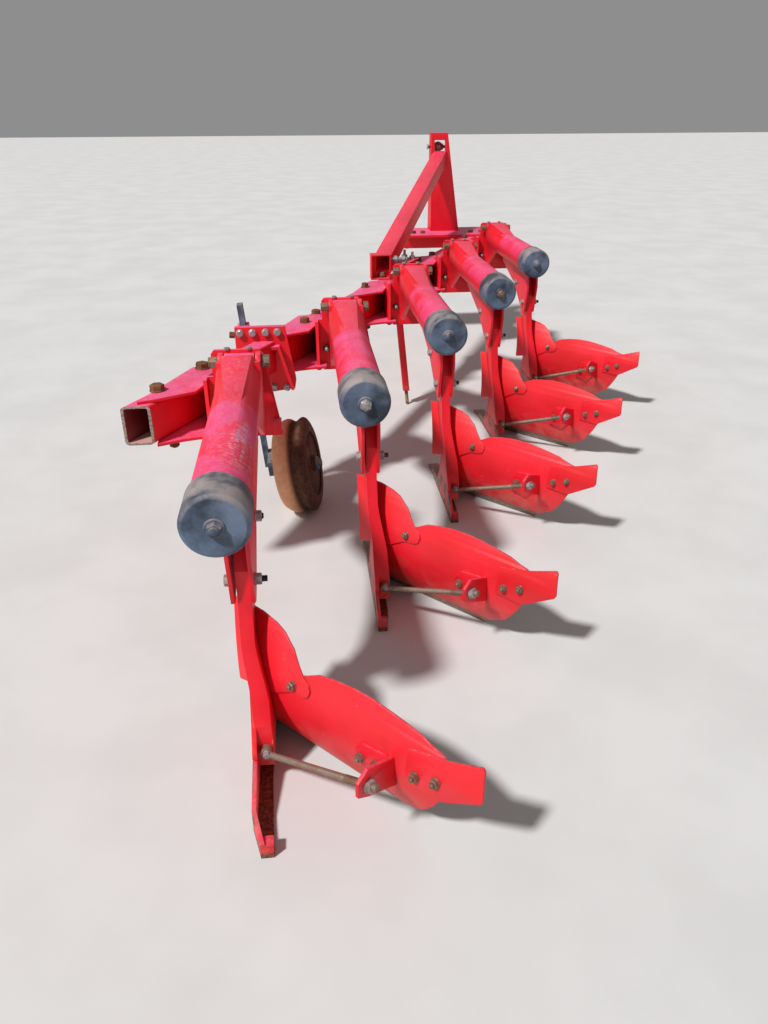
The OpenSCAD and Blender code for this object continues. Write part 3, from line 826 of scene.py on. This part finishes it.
def leg_bolts(group, k):
    past_nut = 22
    for y, z, end in LEG_BOLTS:
        right = facing(beside(k, CHEEK_RIGHT, y, z), RIGHT)
        group.nut(spun(right, 0.2), *LEG_NUT, ZINC)
        group.thread(lifted(right, past_nut), 10, end, BLACK)
        group.bolt(facing(beside(k, CHEEK_LEFT, y, z), LEFT), *LEG_HEAD, ZINC)


def mouldboard_nuts(group, k):
    """Each nut is turned by its own place, so that they don't all stand alike."""
    for s, z, proud, end in MOULD_NUTS:
        place, outward = on_mouldboard(k, s, z, proud)
        group.nut(facing(place, outward, s), *MOULD_NUT, end, DIRTY)


def stay_nuts(group, k):
    """The nuts on both sides of the lug's flange, the stay's threaded end and the bolt in its eye."""
    play = 3
    washer_t = 3
    direction = on_stay(k, STAY_END.x) - on_stay(k, STAY_START.x)
    inner_face, outer_face = LUG_FLANGE
    outside = facing(on_stay(k, outer_face + play), direction)
    group.washer(outside, 21, washer_t, ZINC)
    group.hexagon(lifted(outside, washer_t), *STAY_NUT, ZINC)
    group.hexagon(facing(on_stay(k, inner_face - play), -direction), *STAY_INNER_NUT, DIRTY)
    thread_at = inner_face - play - STAY_INNER_NUT[1]
    group.thread(facing(on_stay(k, thread_at), -direction), 12, 60, DIRTY)
    eye = facing(beside(k, EYE_X, EYE_BACK, EYE_Z), BACK)
    group.washer(eye, 12, 2, ZINC)
    group.hexagon(lifted(eye, 2), *EYE_HEAD, ZINC)


def body_fasteners(k):
    group = Fasteners(f"trip_{k}")
    pivot_ends(group, k)
    cap_bolt(group, k)
    leg_bolts(group, k)
    mouldboard_nuts(group, k)
    stay_nuts(group, k)
    group.make_piece(FASTENER_FINISHES)


for body_number in BODIES:
    body_fasteners(body_number)


# Fasteners of the frame, each turned by its own place, so that they don't all stand alike

# Faces that they lie on, a hair outside the solids
FLANGE_BACK = 782
FLANGE_FRONT = 818.4
BRACKET_BACK = 45.8
BRACKET_TOP = 1056.2
PLATE_BOTTOM = 715.6
PLATE_TOP = 900.4
BEAM_TOP = 888.4
BASE_TOP = 908.4

# Bolts of the beam's flange joint: x and z beside the rear pivot
FLANGE_BOLTS = ((-51, 932), (9, 932), (72, 932), (129, 932), (93, 653), (161, 653))
# Bolts down through the beam, beside each bracket's pivot: x, y, and the face they lie on. Some stand in
# front of the plate, on the beam itself. The front bracket has the same as the rear one.
REAR_BEAM_BOLTS = ((-336, 48, PLATE_TOP), (-188, 329, PLATE_TOP))
BEAM_BOLTS = {
    1: REAR_BEAM_BOLTS,
    2: ((-200, 200, PLATE_TOP), (-136, 420, BEAM_TOP)),
    3: ((-276, 163, PLATE_TOP),),
    4: ((-276, 163, PLATE_TOP), (-128, 444, BEAM_TOP)),
    5: REAR_BEAM_BOLTS,
}
# Nuts under a bracket's lower plate: x, y, size across the flats, height, and the bolt's end
PLATE_NUTS = (
    (-336, 48, 38, 16, 6),
    (-188, 329, 38, 16, 6),
    (-137, 41, 34, 16, 4),
    (-282, -42, 34, 16, 4),
)
# Bolts on the headstock's base plate, from left to right, and their place from rear to front
BASE_BOLTS_X = (340, 420, 850, 940)
BASE_BOLTS_Y = 2360
# Upright studs through the clamp plate beside the brace: x, y, and the height of the top
STUDS = ((-21, 695, 984), (34, 652, 984), (65, 875, 1008), (114, 829, 1000))

# Heads and nuts: (across the flats, height), and for a nut the bolt's end beyond it
FLANGE_HEAD = (30, 15)
FLANGE_NUT = (30, 18, 8)
SET_HEAD = (28, 26)
BEAM_HEAD = (42, 22)
REAR_BEAM_HEAD = (50, 22)
CORNER_HEAD = (21, 9)
STOP_HEAD = (30, 20)
BASE_HEAD = (36, 18)
FLOOR_HEAD = (48, 14)
FLOOR_NUT = (32, 16)
CROSS_NUT = (40, 22)
STUD_NUT = (36, 22)


def flange_bolts(group):
    """The leftmost has no nut, because the clamp of the wheel's shank stands in front of it."""
    for x, z in FLANGE_BOLTS:
        group.bolt(facing(beside(REAR_BODY, x, FLANGE_BACK, z), BACK, x), *FLANGE_HEAD, ZINC)
        if x > 0:
            group.nut(facing(beside(REAR_BODY, x, FLANGE_FRONT, z), AHEAD, x), *FLANGE_NUT, ZINC)


def set_bolt(group):
    """The bolt in the left side of the leaning clamp that holds the wheel's shank."""
    inside = -6
    outside = 22
    side = facing(beside(REAR_BODY, -62, 870, 898), (-1, 0, 0.09))
    group.turned(side, [(8, inside), (8, outside)], THREAD_SIDES, RUSTY)
    group.hexagon(lifted(side, outside), *SET_HEAD, RUSTY)


def brace_fasteners(group):
    """The bolts in the brace's open foot: one in its floor, and a stud with nuts across it."""
    floor_t = 8
    washer_t = 3
    floor = facing(model(-134, 500, BEAM_TOP + floor_t), UP)
    group.hexagon(floor, *FLOOR_HEAD, RUSTY)
    group.washer(lifted(floor, FLOOR_HEAD[1]), 20, washer_t, ZINC)
    group.hexagon(lifted(floor, FLOOR_HEAD[1] + washer_t), *FLOOR_NUT, ZINC)
    stud = facing(model(-82, 496, 1010), RIGHT)
    group.thread(stud, 12, 116, ZINC)
    for away in (28, 80):
        group.hexagon(lifted(stud, away), *CROSS_NUT, ZINC)


def clamp_plate(group):
    """A block on the beam beside the brace, and a plate on it that four upright studs hold."""
    play = 0.2
    block = (86, 230, 54)
    plate = (118, 286, 10)
    plate_top = BEAM_TOP + block[2] + play + plate[2]
    on_beam = facing(model(48, 763, BEAM_TOP), UP, -BEAM_TURN)
    group.box(on_beam, block, RED_FINISH)
    group.box(lifted(on_beam, block[2] + play), plate, RED_FINISH)
    for x, y, top in STUDS:
        upright = facing(model(x, y, plate_top), UP)
        nut_h = STUD_NUT[1]
        group.hexagon(upright, *STUD_NUT, ZINC)
        group.thread(lifted(upright, nut_h), 10, top - plate_top - nut_h, ZINC)


def top_pin(group):
    """The pin through the mast's ears, with the top link's ball on it."""
    pin_r = 12.4
    pin = facing(model(478, 2570, 1590), RIGHT)
    group.turned(pin, [(20, 0), (20, 8), (pin_r, 9), (pin_r, 184), (10.5, 187)], ROUND_SIDES, ZINC)
    ball_r = 42
    ball_at = 94
    sleeve_r = 25
    sleeve_l = 10
    steps = 10
    rise = math.acos(sleeve_r / ball_r)
    half = ball_r * math.sin(rise)
    arc = [-rise + 2 * rise * i / steps for i in range(steps + 1)]
    sphere = [(ball_r * math.cos(angle), ball_at + ball_r * math.sin(angle)) for angle in arc]
    near_end = (sleeve_r, ball_at - half - sleeve_l)
    far_end = (sleeve_r, ball_at + half + sleeve_l)
    group.turned(pin, [near_end, *sphere, far_end], 40, ZINC)


def bracket_fasteners(group, k):
    head = REAR_BEAM_HEAD if k == REAR_BODY else BEAM_HEAD
    for x, y, z in BEAM_BOLTS[k]:
        group.bolt(facing(beside(k, x, y, z), UP, x), *head, RUSTY)
    for x, y, flats, height, end in PLATE_NUTS:
        group.nut(facing(beside(k, x, y, PLATE_BOTTOM), DOWN, x), flats, height, end, RUSTY)
    for x in (-48, 37):
        group.hexagon(facing(beside(k, x, 50, BRACKET_TOP), UP, x), *CORNER_HEAD, ZINC)
    stop = facing(beside(k, -96, BRACKET_BACK, 805), BACK, 0.3)
    group.hexagon(stop, *STOP_HEAD, BLACK)
    group.turned(lifted(stop, STOP_HEAD[1]), [(10, 0), (10, 16), (8, 18)], THREAD_SIDES, ZINC)


def frame_fasteners():
    group = Fasteners("frame")
    flange_bolts(group)
    set_bolt(group)
    brace_fasteners(group)
    clamp_plate(group)
    top_pin(group)
    for k in BODIES:
        bracket_fasteners(group, k)
    for x in BASE_BOLTS_X:
        group.bolt(facing(model(x, BASE_BOLTS_Y, BASE_TOP), UP, x), *BASE_HEAD, RUSTY)
    group.make_piece(FASTENER_FINISHES)


def wheel_disc():
    """The thin disc that closes the wheel's right side, behind the flange of its rim."""
    play = 0.3
    thickness = 4.7
    radius = RIM_INSIDE_R + 2
    right = RIM_FLANGE - play
    group = Fasteners("wheel")
    group.turned(facing(WHEEL_PLACE, WHEEL_AXIS), [(radius, right - thickness), (radius, right)], 64, 0)
    # The disc takes the wheel's rust, with the painted shade of its right side
    group.make_piece([WHEEL_RUST_AND_PAINTED_SHADE])


frame_fasteners()
wheel_disc()


# Camera, lights and floor

PHOTO_SIZE = (768, 1024)
FOCAL_PIXELS = 773.2
SENSOR = 36.0
CAMERA_PLACE = (-0.77579, -4.40893, 1.90068)
CAMERA_TURN = (62.324, 0.199, -6.090)
SUN_ENERGY = 3.9
SUN_ANGLE = math.radians(5)
# The way from the ground to the sun
SUN_SIDE = Vector((-0.50, -0.405, 0.765))
SKY_STRENGTH = 0.27
FLOOR_HALF = 60


def make_camera():
    data = bpy.data.cameras.new("camera")
    data.sensor_width = SENSOR
    data.lens = FOCAL_PIXELS * SENSOR / max(PHOTO_SIZE)
    camera = bpy.data.objects.new("camera", data)
    camera.location = CAMERA_PLACE
    camera.rotation_euler = [math.radians(angle) for angle in CAMERA_TURN]
    bpy.context.scene.collection.objects.link(camera)
    bpy.context.scene.camera = camera


def make_light():
    data = bpy.data.lights.new("sun", "SUN")
    data.energy = SUN_ENERGY
    data.angle = SUN_ANGLE
    sun = bpy.data.objects.new("sun", data)
    sun.rotation_euler = SUN_SIDE.to_track_quat("Z", "Y").to_euler()
    bpy.context.scene.collection.objects.link(sun)
    world = bpy.data.worlds.new("studio")
    world.use_nodes = True
    sky = world.node_tree.nodes["Background"]
    sky.inputs["Color"].default_value = (1.0, 1.0, 1.0, 1.0)
    sky.inputs["Strength"].default_value = SKY_STRENGTH
    bpy.context.scene.world = world


def make_floor():
    data = bpy.data.meshes.new("floor")
    corners = [(x * FLOOR_HALF, y * FLOOR_HALF, 0) for x, y in ((-1, -1), (1, -1), (1, 1), (-1, 1))]
    data.from_pydata(corners, [], [(0, 1, 2, 3)])
    data.materials.append(pale_floor())
    floor = bpy.data.objects.new("floor", data)
    bpy.context.scene.collection.objects.link(floor)


make_camera()
make_light()
make_floor()
bpy.context.scene.view_settings.view_transform = "Standard"
